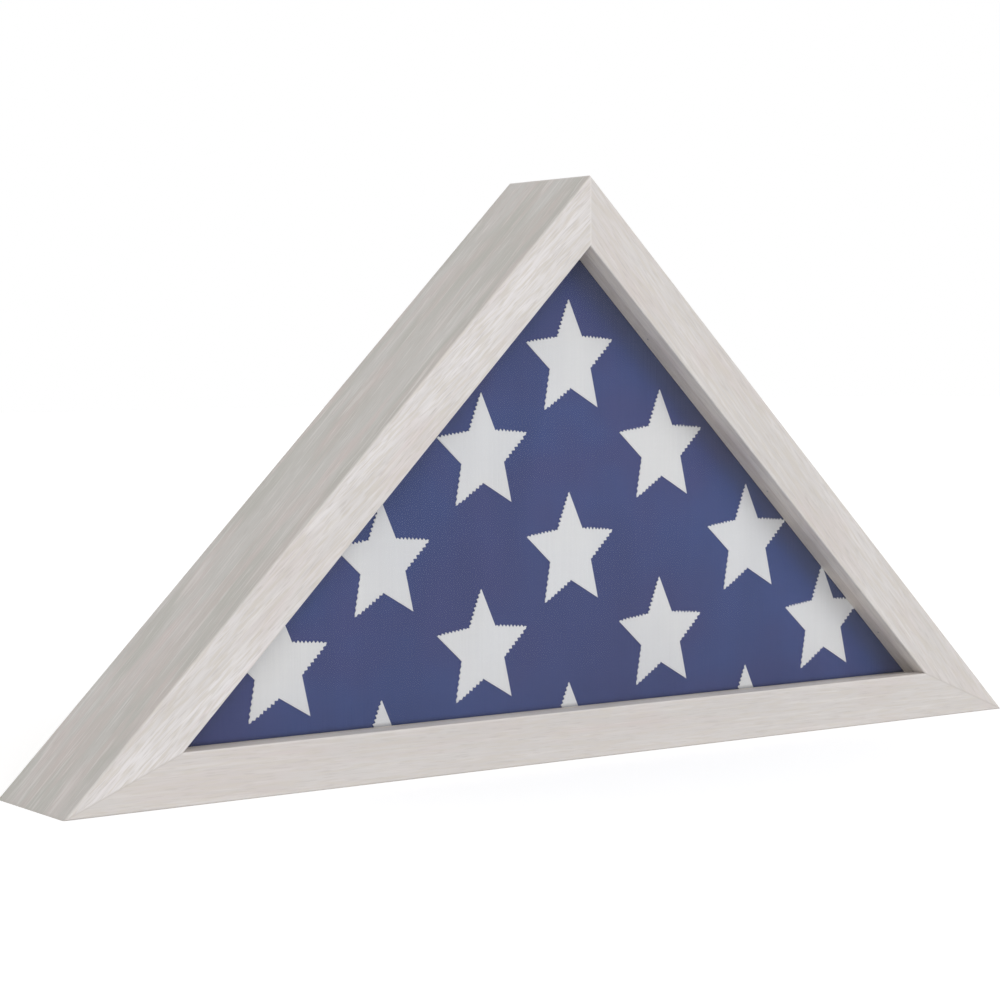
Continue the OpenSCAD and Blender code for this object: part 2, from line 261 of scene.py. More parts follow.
# A sloping rail's outer face lies this far from the origin, measured square to the rail
SLOPE_AT = CAD_BOX[1][0] * math.sin(math.radians(45))
BASE_RUN = RailRun("base", turn_deg=0.0, shift=(0.31, 0.0, 0.0), outer_at=0.0, inwards=1.0,
                   swerve_deg=0.5, lean_deg=1.0, dull=0.66, figure=0.72)
RIGHT_RUN = RailRun("right", turn_deg=45.0, shift=(0.0, 0.0, 0.0), outer_at=SLOPE_AT, inwards=-1.0,
                    swerve_deg=3.2, lean_deg=-2.0, dull=0.50, figure=0.9)
LEFT_RUN = RailRun("left", turn_deg=-45.0, shift=(0.0, 0.0, 0.0), outer_at=SLOPE_AT, inwards=-1.0,
                   swerve_deg=3.3, lean_deg=3.0, dull=0.0, figure=1.0)
RUNS = (LEFT_RUN, RIGHT_RUN, BASE_RUN)


class RailShading(Shading):
    """A rail's material under construction, with coordinates that follow the rail."""

    def __init__(self, name: str, run: RailRun) -> None:
        """Starts the material, and turns X along the rail, and then along its grain.

        Args:
            name: the material's name.
            run: the rail's side.
        """
        super().__init__(name, Roughness=0.62, IOR=1.5)
        self.run = run
        turned = {"vector_type": "TEXTURE", "Location": run.shift, "Rotation": (0, math.radians(run.turn_deg), 0)}
        self.along = add(self.tree, "Mapping", turned, {"Vector": self.place})
        off_true = (0, math.radians(run.swerve_deg), math.radians(run.lean_deg))
        settings = {"vector_type": "TEXTURE", "Rotation": off_true}
        self.grain = add(self.tree, "Mapping", settings, {"Vector": self.along})
        self.depth, self.across = (add(self.tree, "SeparateXYZ", {}, {0: self.along}, out=axis) for axis in "YZ")


@dataclass(frozen=True)
class WhitewashedOak:
    """Oak-grained rail stock, brushed with thin white wash and wiped off, then sealed dead matt.

    The wash lies milky on the wood and stays pale on the eased edges, which carry a painted highlight too, while the
    open pores keep a little grey.
    """

    name: str = "whitewashed_oak_brushed_matt"
    pale: str = "#EAE6E6"
    shade: str = "#CFCAC6"
    blush: str = "#D6C7C3"
    cream: str = "#D3CCC3"
    moss: str = "#B2B1A7"
    pore: str = "#BBB4AE"
    # the wiped lines, the rubbed arrises and the painted highlights on the edges
    rubbed_and_highlight: str = "#E9E5E2"
    bare: str = "#CBB795"
    summer: str = "#A98F69"
    open_pore: str = "#7E6646"
    # painted light on the lip's inner face
    lip_painted_light: str = "#FBF4E8"
    rough: Pair = (0.56, 0.70)
    face_w: float = 0.028
    half_w: float = CAD_BOX[1][0]
    front_y: float = CAD_BOX[0][1]
    rear_y: float = -CAD_BOX[0][1]

    def build(self, run: RailRun, is_strip: bool = False) -> Material:
        """Makes the finish with its grain along one rail.

        Args:
            run: the side of the triangle that the piece belongs to.
            is_strip: True for the small strip behind the lip, which is cut from a plainer stick.

        Returns:
            The material.
        """
        s = RailShading(f"{self.name}_{run.name}{'_strip' if is_strip else ''}", run)
        # Broad drifts of tone, about 150 mm long and 16 mm wide, as the wash was wiped on in passes
        drift = s.blotches(s.grain, (150, 16, 14), 0.36, 0.66, 1.5)
        # The blush of bare wood under thin wash, in patches of about 60 by 20 mm and in slips 90 mm long
        patch = s.blotches(s.grain, (60, 20, 22), 0.48, 0.68, 1.0)
        slip = s.blotches(s.grain, (90, 7, 6), 0.54, 0.72, 1.5)
        # Brushed streaks 55 mm long and 1.9 mm wide
        streak = s.blotches(s.grain, (55, 1.9, 1.8), 0.36, 0.66, 2.5)
        # Wiped white lines 38 mm long and 1.3 mm wide, and a few far longer ones
        line = s.blotches(s.grain, (38, 1.3, 1.4), 0.54, 0.74, 1.5)
        sweep = s.blotches(s.grain, (160, 2.6, 2.4), 0.60, 0.74, 0.5)
        # Oak pores are 0.3 mm wide, too fine to show, so they are drawn 0.8 mm wide and 12 mm long
        pore = s.blotches(s.grain, (12, 0.8, 0.8), 0.52, 0.74, 1.0)
        # Short creamy flecks, where the brush left the wood's own colour in the grain of the front
        fleck = s.blotches(s.grain, (18, 1.4, 1.4), 0.46, 0.66, 1.0)
        front = s.near(s.depth, self.front_y, 0.3 * MM, 1.2 * MM)
        colour = s.coat(self.pale, self.shade, 0.38, drift)
        if not is_strip:
            colour = self.walls(s, colour)
        colour = s.coat(colour, self.shade, run.dull)
        for tone, thickness, *where in (
            (self.blush, 0.34, patch), (self.blush, 0.30, slip), (self.shade, 0.46, streak),
            (self.rubbed_and_highlight, 0.42, line), (self.rubbed_and_highlight, 0.36, sweep), (self.pore, 0.40, pore),
            (self.cream, 0.62, fleck, front),
        ):
            colour = s.coat(colour, tone, thickness * run.figure, *where)
        if not is_strip:
            sawn = s.coat(s.coat(self.bare, self.summer, 0.75, streak), self.open_pore, 0.60, pore)
            colour = self.edges(s, sawn, colour)
        raised = add(s.tree, "Math", {"operation": "MULTIPLY", 1: 0.4}, {0: streak})
        relief = add(s.tree, "Math", {"operation": "SUBTRACT"}, {0: raised, 1: pore})
        return s.finish(colour, relief, depth_mm=0.05, strength=0.4, polish=streak, rough=self.rough)

    def walls(self, s: RailShading, colour: Socket) -> Socket:
        """Adds the outer wall's tone: flat-sawn and greener than the face, painted darker than it as painted shade,
        with a dull band beside the front.

        Args:
            s: the material under construction.
            colour: the colour so far.

        Returns:
            The colour with the wall's tone laid on.
        """
        wall = s.near(s.across, s.run.outer_at, 0.3 * MM, 1.1 * MM)
        green = s.blotches(s.grain, (110, 26, 24), 0.40, 0.62, 1.0)
        greenness = add(s.tree, "MapRange", {**SMOOTH, "To Min": 0.70, "To Max": 1.0}, {"Value": green})
        # Painted shade, partly real tone: the outer wall is greener than the face and painted darker than it
        colour = s.coat(colour, self.moss, 0.76, wall, greenness)
        # The band is 7 to 14 mm wide, and narrower where the wood is greener
        wavy = add(s.tree, "Math", {"operation": "MULTIPLY_ADD", 1: 3 * MM}, {0: green, 2: s.depth})
        band = s.near(wavy, self.front_y, 7 * MM, 14 * MM)
        colour = s.coat(colour, self.pore, 0.30, wall, band)
        # Rosy heartwood shows through the wall's thin wash, in patches of about 70 by 12 mm
        rosy = s.blotches(s.along, (70, 12, 12), 0.50, 0.64, 1.5)
        colour = s.coat(colour, self.blush, 0.42, wall, rosy)
        # Painted light: the lip's narrow inner face, in the shade of the opening, is painted whiter
        lip = s.near(s.across, s.run.from_outer(self.face_w), 0.3 * MM, 1.1 * MM)
        limits = {"From Min": self.front_y + 0.8 * MM, "From Max": self.front_y + 1.6 * MM}
        behind = add(s.tree, "MapRange", {**SMOOTH, **limits}, {"Value": s.depth})
        return s.coat(colour, self.lip_painted_light, 0.95, lip, behind)

    def edges(self, s: RailShading, sawn: Socket, colour: Socket) -> Socket:
        """Adds what happens at the rail's edges: pale arrises, partly rubbed wear and partly painted highlight, the
        mitre seams, the top one with a painted highlight, and the bare rear.

        Args:
            s: the material under construction.
            sawn: the colour of the bare sawn wood.
            colour: the colour so far.

        Returns:
            The colour with the edges laid on.
        """
        # Painted highlight, partly edge wear: the eased front arrises, outer and at the lip, are painted paler
        for inset in (0.0, self.face_w):
            apart = add(s.tree, "Math", {"operation": "SUBTRACT", 1: s.run.from_outer(inset)}, {0: s.across})
            off = add(s.tree, "Math", {"operation": "ABSOLUTE"}, {0: apart})
            both = add(s.tree, "Math", {"operation": "ADD"}, {0: s.depth, 1: off})
            colour = s.coat(colour, self.rubbed_and_highlight, 0.25, s.near(both, self.front_y, 0.5 * MM, 1.5 * MM))
        # The base mitres leave the corner at 22.5 degrees, and the top one stands upright
        sway = math.radians(22.5)
        mirrored = add(s.tree, "VectorMath", {"operation": "ABSOLUTE"}, {0: s.place})
        square = {"operation": "DOT_PRODUCT", 1: (math.sin(sway), 0.0, math.cos(sway))}
        from_seam = add(s.tree, "VectorMath", square, {0: mirrored}, out="Value")
        seam = s.near(from_seam, self.half_w * math.sin(sway), 0.15 * MM, 0.8 * MM)
        colour = s.coat(colour, self.pore, 0.35, seam)
        # Painted highlight: the top mitre is painted as a paler line
        if s.run is not BASE_RUN:
            middle = add(s.tree, "SeparateXYZ", {}, {0: s.place}, out="X")
            colour = s.coat(colour, self.rubbed_and_highlight, 0.35, s.near(middle, 0.0, 0.2 * MM, 1.0 * MM))
        # The rear is left bare, but for a little wash that ran 1.5 to 6 mm in over the outer edge
        rear = s.near(s.depth, self.rear_y, 0.2 * MM, 0.9 * MM)
        washed = s.near(s.across, s.run.outer_at, 1.5 * MM, 6 * MM)
        bared = add(s.tree, "Math", {"operation": "MULTIPLY_ADD", 1: -0.75, 2: 0.90}, {0: washed})
        return s.coat(colour, sawn, 1.0, rear, bared)


@dataclass(frozen=True)
class ClearAcrylic:
    """Cast acrylic sheet, polished, which lets the flag through with the faintest veil."""

    name: str = "cast_acrylic_polished"
    tone: str = "#6F767C"
    veil: float = 0.018

    def build(self) -> Material:
        """Makes the finish; acrylic's own IOR is 1.49."""
        s = Shading(self.name, Roughness=0.03, IOR=1.49, Alpha=self.veil, Base_Color=linear(self.tone))
        return s.material


@dataclass(frozen=True)
class WovenCloth:
    """Flag bunting woven from spun yarn, dyed in the piece, so it is matt with a faint nap.

    The yarns run upright and show as very fine ribs, with slow, soft changes in the dye.
    """

    name: str
    main: str
    deep: str
    cast: str
    yarn_mm: float = 1.5
    yarn_share: float = 0.2
    cast_share: float = 0.42
    lustre: float = 0.25
    # painted shade: darker along the bottom, below the base rail's lip
    painted_lip_shade: str = "#2C2E3C"
    painted_lip_shade_z: Pair = (0.0264, 0.0295)
    warmed: str = "#4B4F77"
    warmed_share: float = 0.0
    warmed_at: Triple = (0.011, 0.0, 0.075)
    warmed_reach: Pair = (0.110, 0.060)
    # painted shade: the cloth greyer towards the case's slopes
    grey_tone: str = "#5A5A5D"
    shade_grey_share: float = 0.40
    half_w: float = CAD_BOX[1][0]

    def build(self) -> Material:
        """Makes the finish's material."""
        s = Shading(self.name, Roughness=0.92, IOR=1.46, Specular_IOR_Level=self.lustre)
        # The dye drifts over about 90 mm
        cast = s.blotches(s.place, (90, 90, 70), 0.42, 0.64, 2.0)
        deep = s.blotches(s.place, (45, 45, 120), 0.40, 0.66, 1.0)
        # Yarns of 0.5 mm are too fine to show, so they are drawn 1.5 mm apart and faint
        ribs = s.blotches(s.place, (self.yarn_mm, self.yarn_mm, 60), 0.36, 0.64, 0.0)
        picks = s.blotches(s.place, (40, 40, self.yarn_mm), 0.36, 0.64, 0.0)
        faint = add(s.tree, "Math", {"operation": "MULTIPLY", 1: 0.3}, {0: picks})
        weave = add(s.tree, "Math", {"operation": "MULTIPLY_ADD", 1: 0.7}, {0: ribs, 2: faint})
        colour = s.coat(self.main, self.cast, self.cast_share, cast)
        colour = s.coat(colour, self.deep, 0.35, deep)
        colour = s.coat(colour, self.deep, self.yarn_share, weave)
        # Painted shade: the cloth darker along the bottom, where the base rail's lip shades it
        height = add(s.tree, "SeparateXYZ", {}, {0: s.place}, out="Z")
        colour = s.coat(colour, self.painted_lip_shade, 0.55, s.near(height, 0.0, *self.painted_lip_shade_z))
        colour = self.warmed_and_shaded(s, colour)
        # Slack in the bunting gives low swells, some 60 mm across
        swell = s.blotches(s.place, (60, 60, 80), 0.3, 0.7, 1.0)
        relief = add(s.tree, "Math", {"operation": "MULTIPLY_ADD", 1: 3.0}, {0: swell, 2: weave})
        return s.finish(colour, relief, depth_mm=0.12, strength=0.6)

    def warmed_and_shaded(self, s: Shading, colour: Socket) -> Socket:
        """Adds a warmer dye in the bundle's middle, and painted shade: the cloth greyer towards the case's slopes.

        Args:
            s: the material under construction.
            colour: the colour so far.

        Returns:
            The colour with both laid on.
        """
        if self.warmed_share:
            wide, tall = self.warmed_reach
            fit = Vector((1 / wide, 0.0, 1 / tall))
            fitted = add(s.tree, "VectorMath", {"operation": "MULTIPLY", 1: fit}, {0: s.place})
            centre = {"operation": "DISTANCE", 1: fit * Vector(self.warmed_at)}
            away = add(s.tree, "VectorMath", centre, {0: fitted}, out="Value")
            colour = s.coat(colour, self.warmed, self.warmed_share, s.near(away, 0.0, 0.4, 1.3))
        # Painted shade: the cloth greyer towards the case's slopes, where the rails shade it: fully 28 mm in from
        # the slopes, and not at all at 46 mm
        mirrored = add(s.tree, "VectorMath", {"operation": "ABSOLUTE"}, {0: s.place})
        sloping = {"operation": "DOT_PRODUCT", 1: (1.0, 0.0, 1.0)}
        reach = add(s.tree, "VectorMath", sloping, {0: mirrored}, out="Value")
        slope = math.sin(math.radians(45))
        near_wall_shade = s.near(reach, self.half_w, 28 * MM / slope, 46 * MM / slope)
        return s.coat(colour, self.grey_tone, self.shade_grey_share, near_wall_shade)


@dataclass(frozen=True)
class Fibreboard:
    """Hardboard pressed from wood fibre, raw and uncoated: mid brown, flecked and slightly soft to the light."""

    name: str = "hardboard_pressed_raw"
    main: str = "#9C7A58"
    light: str = "#B69470"
    dark: str = "#6E5238"

    def build(self) -> Material:
        """Makes the finish's material."""
        s = Shading(self.name, Roughness=0.78, IOR=1.5)
        cloud = s.blotches(s.place, (60, 60, 60), 0.35, 0.65, 3.0)
        # Fibre bundles about 2 mm long and 0.8 mm wide, lying every way
        fibre = s.blotches(s.place, (2.2, 2.2, 0.8), 0.5, 0.7, 2.0)
        fleck = s.blotches(s.place, (0.9, 0.9, 2.6), 0.62, 0.72, 1.0)
        colour = s.coat(self.main, self.light, 0.35, cloud)
        colour = s.coat(colour, self.light, 0.4, fibre)
        colour = s.coat(colour, self.dark, 0.6, fleck)
        return s.finish(colour, fibre, depth_mm=0.08, strength=0.4, polish=fibre, rough=(0.70, 0.85))


@dataclass(frozen=True)
class ZincPlate:
    """Steel, stamped or drawn and then bright zinc plated: a cool grey metal with a fine satin grain."""

    name: str = "steel_zinc_plated"
    main: str = "#B9BCC0"
    dull: str = "#94979B"
    grain_mm: Triple = (1.2, 1.2, 9.0)
    rough: Pair = (0.28, 0.45)

    def build(self) -> Material:
        """Makes the finish's material."""
        s = Shading(self.name, Metallic=1.0, Roughness=0.35)
        bloom = s.blotches(s.place, (3, 3, 3), 0.4, 0.65, 2.0)
        # Drawing lines of 0.05 mm are far too fine, so they are drawn 1.2 mm apart and faint
        grain = s.blotches(s.place, self.grain_mm, 0.35, 0.65, 1.0)
        colour = s.coat(self.main, self.dull, 0.5, bloom)
        return s.finish(colour, grain, depth_mm=0.01, strength=0.2, polish=grain, rough=self.rough)


@dataclass(frozen=True)
class BlackedSteel:
    """Stamped steel, blacked and oiled: soft black, with the metal showing where the edges rub."""

    name: str = "steel_stamped_blacked"
    main: str = "#2E2E30"
    grey_tone: str = "#4A4A4C"

    def build(self) -> Material:
        """Makes the finish's material."""
        s = Shading(self.name, Metallic=0.6, Roughness=0.45)
        bloom = s.blotches(s.place, (2.5, 2.5, 2.5), 0.42, 0.68, 3.0)
        speck = s.blotches(s.place, (0.7, 0.7, 0.7), 0.6, 0.75, 1.0)
        colour = s.coat(self.main, self.grey_tone, 0.45, bloom)
        colour = s.coat(colour, self.grey_tone, 0.5, speck)
        return s.finish(colour, speck, depth_mm=0.02, strength=0.3, polish=bloom, rough=(0.36, 0.55))


@dataclass(frozen=True)
class MouldedRubber:
    """Moulded rubber: dark grey and dull, with the fine grain of a sparked mould and a dusty bloom."""

    name: str = "rubber_moulded_matt"
    main: str = "#3A3A3C"
    dusty: str = "#57575A"

    def build(self) -> Material:
        """Makes the finish's material."""
        s = Shading(self.name, Roughness=0.8, IOR=1.52)
        dust = s.blotches(s.place, (3, 3, 3), 0.42, 0.7, 2.0)
        grain = s.blotches(s.place, (0.6, 0.6, 0.6), 0.4, 0.6, 1.0)
        colour = s.coat(self.main, self.dusty, 0.6, dust)
        return s.finish(colour, grain, depth_mm=0.03, strength=0.4, polish=dust, rough=(0.70, 0.90))


# ---- meshes


def set_down(name: str, data: bpy.types.ID) -> bpy.types.Object:
    """Makes an object of a mesh, a lamp or a camera and puts it into the scene.

    Args:
        name: the object's name.
        data: what it is made of.

    Returns:
        The object.
    """
    made = bpy.data.objects.new(name, data)
    bpy.context.scene.collection.objects.link(made)
    return made


class Mesh:
    """Points and faces under construction, made into one object at the end."""

    def __init__(self) -> None:
        """Starts with nothing."""
        self.points: list[Vector] = []
        self.faces: list[tuple[int, ...]] = []

    def ring(self, points: Iterable[Vector]) -> list[int]:
        """Adds a ring of points.

        Args:
            points: where they lie.

        Returns:
            Their numbers.
        """
        start = len(self.points)
        self.points.extend(points)
        return list(range(start, len(self.points)))

    def skin(self, rings: Sequence[Sequence[int]]) -> None:
        """Joins closed rings of equal length, each to the next, with four-sided faces.

        Args:
            rings: the rings' point numbers, in order.
        """
        for a, b in zip(rings, rings[1:]):
            n = len(a)
            self.faces.extend((a[i], a[(i + 1) % n], b[(i + 1) % n], b[i]) for i in range(n))

    def cap(self, ring: Sequence[int], centre: Vector) -> None:
        """Closes a ring with a fan round one middle point.

        Args:
            ring: the ring's point numbers.
            centre: the middle point.
        """
        middle = self.ring([centre])[0]
        n = len(ring)
        self.faces.extend((ring[i], ring[(i + 1) % n], middle) for i in range(n))

    def to_object(self, name: str, material: Material, smooth: bool = True) -> bpy.types.Object:
        """Makes the object, with its faces all turned outwards.

        Args:
            name: the piece's name.
            material: its finish.
            smooth: True for soft shading.

        Returns:
            The object, in the scene.
        """
        data = bpy.data.meshes.new(name)
        data.from_pydata([tuple(p) for p in self.points], [], self.faces)
        work = bmesh.new()
        work.from_mesh(data)
        bmesh.ops.recalc_face_normals(work, faces=work.faces)
        work.to_mesh(data)
        work.free()
        data.materials.append(material)
        data.polygons.foreach_set("use_smooth", [smooth] * len(data.polygons))
        return set_down(name, data)


@dataclass(frozen=True)
class Outline:
    """A convex outline in X and Z with round corners, as centre points and the directions outwards from them."""

    corners: tuple[Pair, ...]
    radius: float
    step: float = 0.006
    turns: int = 9

    def samples(self) -> list[tuple[Vector, Vector, float]]:
        """Walks once round the outline.

        Returns:
            For each place its centre point, its direction outwards, and how far round it lies in metres.
        """
        made: list[tuple[Vector, Vector, float]] = []
        n, walked = len(self.corners), 0.0
        for i in range(n):
            a, b, c = (Vector(self.corners[(i + k) % n]) for k in (-1, 0, 1))
            into, out = (b - a).normalized(), (c - b).normalized()
            n_in, n_out = Vector((into.y, -into.x)), Vector((out.y, -out.x))
            sweep = n_in.angle(n_out)
            for k in range(self.turns + 1):
                share = k / self.turns
                normal = (n_in * math.sin((1 - share) * sweep) + n_out * math.sin(share * sweep)).normalized()
                made.append((b, normal, walked + share * sweep * self.radius))
            walked += sweep * self.radius
            length = (c - b).length
            pieces = max(2, round(length / self.step))
            for k in range(1, pieces):
                made.append((b + out * (length * k / pieces), n_out, walked + length * k / pieces))
            walked += length
        return made


# ---- sub-assemblies


@dataclass
class CaseFrame:
    """The three mitred rails with the wedge nails of their joints."""

    oak: WhitewashedOak = WhitewashedOak()
    steel: ZincPlate = ZincPlate(name="steel_nail_plain", main="#8F9194", dull="#77797B")

    def dress(self) -> None:
        """Gives each rail the whitewashed finish along its own grain, and the nails plain steel."""
        for run in RUNS:
            put_on(f"{run.name}_rail", self.oak.build(run))
        put_on("corner_v_nails", self.steel.build())


@dataclass
class Glazing:
    """The clear pane and the strips that hold it against the lip, pinned with brads."""

    oak: WhitewashedOak = WhitewashedOak(
        name="whitewashed_oak_strip", pale="#E6DED5", shade="#D4CCC3", blush="#DACCC4", pore="#BFB7AE")
    acrylic: ClearAcrylic = ClearAcrylic()
    brad: ZincPlate = ZincPlate(name="steel_brad_plain", main="#A3A5A8", dull="#86888B")

    def dress(self) -> None:
        """Gives the pane, the strips and the brads their finishes."""
        put_on("glazing_pane", self.acrylic.build())
        for run in RUNS:
            put_on(f"{run.name}_glazing_strip", self.oak.build(run, is_strip=True))
        put_on("strip_brads", self.brad.build())


class Edge(Enum):
    """How one edge of a star was sewn: the length and the depth of its stitches, in millimetres."""

    CLEAN = (0.0, 0.0)
    FAINT = (3.0, 1.1)
    FINE = (2.3, 2.0)
    MEDIUM = (2.5, 2.0)
    COARSE = (2.6, 2.1)


@dataclass(frozen=True)
class SewnStar:
    """One white star, sewn on a little turned, its long stitches standing out as teeth along some of its edges."""

    width: float = 0.0615
    height: float = 0.0624
    waist: float = 0.47
    turn_deg: float = 1.2
    edges: tuple[Edge, ...] = (
        Edge.CLEAN, Edge.FINE, Edge.COARSE, Edge.CLEAN, Edge.CLEAN,
        Edge.COARSE, Edge.FAINT, Edge.CLEAN, Edge.FINE, Edge.MEDIUM,
    )
    shortest: float = 0.7
    # Places along one stitch, each with how far the edge stands out there as a share of its depth
    tooth: tuple[Pair, ...] = ((0.12, -0.40), (0.50, 0.50), (0.62, 0.42))

    def corners(self) -> list[Vector]:
        """Finds the star's ten corners.

        Returns:
            The corners about its centre, from the top point round towards +X.
        """
        rx = self.width / 2 / math.cos(math.radians(18))
        rz = self.height / (1 + math.cos(math.radians(36)))
        sewn_turn = Matrix.Rotation(math.radians(self.turn_deg), 2)
        made = []
        for k in range(len(self.edges)):
            share, turn = (1.0, self.waist)[k % 2], math.radians(36 * k)
            made.append(sewn_turn @ Vector((rx * share * math.sin(turn), rz * share * math.cos(turn))))
        return made

    def outline(self, rng: random.Random) -> list[tuple[Vector, Vector]]:
        """The star's outline with its stitches.

        Args:
            rng: what makes each stitch a little different.

        Returns:
            For each place round the star the plain outline's point, and how far its stitch stands off it.
        """
        corners = self.corners()
        made: list[tuple[Vector, Vector]] = []
        for k, edge in enumerate(self.edges):
            a, b = corners[k], corners[(k + 1) % len(corners)]
            pitch, depth = edge.value
            way = b - a
            out = Vector((-way.y, way.x)).normalized()
            made.append((a, Vector((0.0, 0.0))))
            teeth = int(way.length / (pitch * MM)) if pitch else 0
            for i in range(teeth):
                # The stitches shorten towards the edge's two ends, over its outer eighths
                at = (i + 0.5) / teeth
                tip = depth * MM * rng.uniform(self.shortest, 1.0) * min(1.0, 4 * (1 - abs(2 * at - 1)))
                for place, reach in self.tooth:
                    made.append((a + way * ((i + place) / teeth), out * (tip * reach)))
        return made


@dataclass
class FoldedFlag:
    """The flag, folded to a thick triangle: bunting bundle with layered folds, and the stars sewn to it.

    Its sides lie inset from the case's outer faces, and it has sunk by drop onto the base rail.
    """

    half_w: float = CAD_BOX[1][0]
    inset: float = 0.020
    drop: float = 0.0007
    corner_r: float = 0.007
    least_r: float = 0.0005
    fold_r: float = 0.005
    front_y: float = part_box("folded_flag")[0][1]
    star_y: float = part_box("flag_stars")[0][1]
    back_y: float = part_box("folded_flag")[1][1]
    layers: int = 9
    layer_steps: int = 6
    crease: float = 0.0021
    # The folds hang slack in waves: each one's share, and its radians per metre round the rim and through it
    slack: float = 0.00025
    waves: tuple[Triple, ...] = ((1.0, 31.0, 60.0), (0.6, 73.0, -90.0))
    # The layers lean to and fro as well, again in radians per metre
    lean: float = 0.00035
    lean_wave: float = 17.0
    # The tucked flap reaches this far along the base and up the right side
    flap_t: float = 0.0016
    flap_rim: float = 0.0003
    flap_r: float = 0.0035
    flap_along: float = 0.60
    flap_up: float = 0.40
    # The stars' grid from the top star down, and how far each column and row lies off it, in steps of the grid
    pitch_x: float = 0.0650
    pitch_z: float = 0.0551
    top_z: float = 0.2266
    rows: tuple[tuple[int, ...], ...] = ((0,), (-1, 1), (-2, 0, 2), (-3, -1, 1, 3), (-2, 0, 2))
    column_drift: tuple[float, ...] = (0.025, 0.039, 0.067, 0.008, 0.035, 0.059, 0.020)
    row_drift: tuple[float, ...] = (0.0, 0.039, 0.008, 0.043, 0.008)
    # How far each row was sewn off its mark, to the right and upwards
    row_slip: tuple[Pair, ...] = (
        (0.0012, -0.0001), (0.0009, 0.0005), (0.0008, -0.0006), (0.0001, 0.0002), (0.0, 0.0),
    )
    star: SewnStar = SewnStar()
    navy: WovenCloth = WovenCloth(
        "bunting_woven_navy", main="#4C5887", deep="#444D75", cast="#524E76", yarn_share=0.12, warmed_share=0.55)
    # The stars take a little of the same painted shade towards the slopes
    white: WovenCloth = WovenCloth(
        "star_cotton_stitched", main="#E5E6E8", deep="#D4D5D9", cast="#E8E7E5", yarn_mm=1.2, yarn_share=0.12,
        cast_share=0.4, shade_grey_share=0.10)

    def triangle(self, inset: float) -> tuple[Pair, ...]:
        """The case's outer triangle moved inwards, and dropped as the flag is.

        Args:
            inset: how far each side moves in, in metres.

        Returns:
            The left, right and top corners as X and Z.
        """
        centre = self.centre_z()
        share = 1 - inset / centre
        corners = ((-self.half_w, 0.0), (self.half_w, 0.0), (0.0, self.half_w))
        return tuple((x * share, centre + (z - centre) * share - self.drop) for x, z in corners)

    def centre_z(self) -> float:
        """The height at which all three sides of the case's outer triangle are equally far away."""
        return self.half_w * math.tan(math.radians(22.5))

    def fold_profile(self, rng: random.Random, back: float) -> list[Pair]:
        """The section through the bundle's edge: a soft front fold, stacked inner folds and a soft back fold.

        Args:
            rng: what makes the folds unequal.
            back: the depth coordinate of the bundle's own back.

        Returns:
            Pairs of depth coordinate and distance inwards, from front to back.
        """
        weights = [rng.uniform(0.8, 1.25) for _ in range(self.layers)]
        # Each layer is rounded, from just past one crease to just before the next
        steps = (0.02, *(i / self.layer_steps for i in range(1, self.layer_steps)), 0.98)
        total, depth, y, made = sum(weights), back - self.front_y, self.front_y, []
        for weight in weights:
            thick = depth * weight / total
            for u in steps:
                inwards = self.crease * (1 - math.sqrt(max(0.0, 1 - (2 * u - 1) ** 2)))
                made.append((y + thick * u, inwards))
            y += thick
        rounded = []
        for at, inwards in made:
            t = min(at - self.front_y, depth - (at - self.front_y))
            lip = self.fold_r - math.sqrt(max(0.0, self.fold_r**2 - max(0.0, self.fold_r - t) ** 2))
            rounded.append((at, max(inwards, lip)))
        return rounded

    def bundle(self, cloth: Material) -> bpy.types.Object:
        """Makes the bundle.

        Args:
            cloth: its finish.

        Returns:
            The bundle's object.
        """
        rng = random.Random(14)
        outline = Outline(self.triangle(self.inset + self.corner_r), self.corner_r).samples()
        back = self.back_y - self.flap_t
        mesh, rings = Mesh(), []
        # Where each wave starts: three are in use, and drawing all six keeps the folds as they are
        starts = [rng.uniform(0, 6.3) for _ in range(6)]
        swing = sum(share for share, _, _ in self.waves)
        for y, inwards in self.fold_profile(rng, back):
            ring = []
            for centre, normal, walked in outline:
                wave = sum(share * math.sin(walked * along + start + y * through)
                           for (share, along, through), start in zip(self.waves, starts))
                slack = self.slack * (1 + wave / swing)
                reach = max(self.least_r, self.corner_r - inwards - slack)
                mid = 1 - abs(2 * (y - self.front_y) / (back - self.front_y) - 1)
                lean = self.lean * mid * math.sin(walked * self.lean_wave + starts[2])
                ring.append(Vector((centre.x + normal.x * reach, y + lean, centre.y + normal.y * reach)))
            rings.append(mesh.ring(ring))
        # The rounded rims run on over the front and the back, in ever smaller rings
        for y, end in ((self.front_y, 0), (back, -1)):
            flat = [mesh.points[i].copy() for i in rings[end]]
            middle = Vector((0.0, y, self.centre_z() - self.drop))
            caps = []
            for share in (0.985, 0.93, 0.7, 0.35):
                caps.append(mesh.ring([middle + (Vector((p.x, y, p.z)) - middle) * share for p in flat]))
            mesh.skin([rings[end], *caps])
            mesh.cap(caps[-1], middle)
        mesh.skin(rings)
        return mesh.to_object("flag_bundle", cloth)

    def tucked_flap(self, cloth: Material) -> bpy.types.Object:
        """The last fold on the bundle's back, its free edge tucked in on a slant.

        Args:
            cloth: its finish.

        Returns:
            The flap's object.
        """
        left, right, top = (Vector(p) for p in self.triangle(self.inset + self.corner_r))
        seam_low, seam_high = left.lerp(right, self.flap_along), right.lerp(top, self.flap_up)
        corners = (tuple(left), tuple(seam_low), tuple(seam_high), tuple(top))
        samples = Outline(corners, self.flap_r, step=0.01, turns=6).samples()
        mesh, rings = Mesh(), []
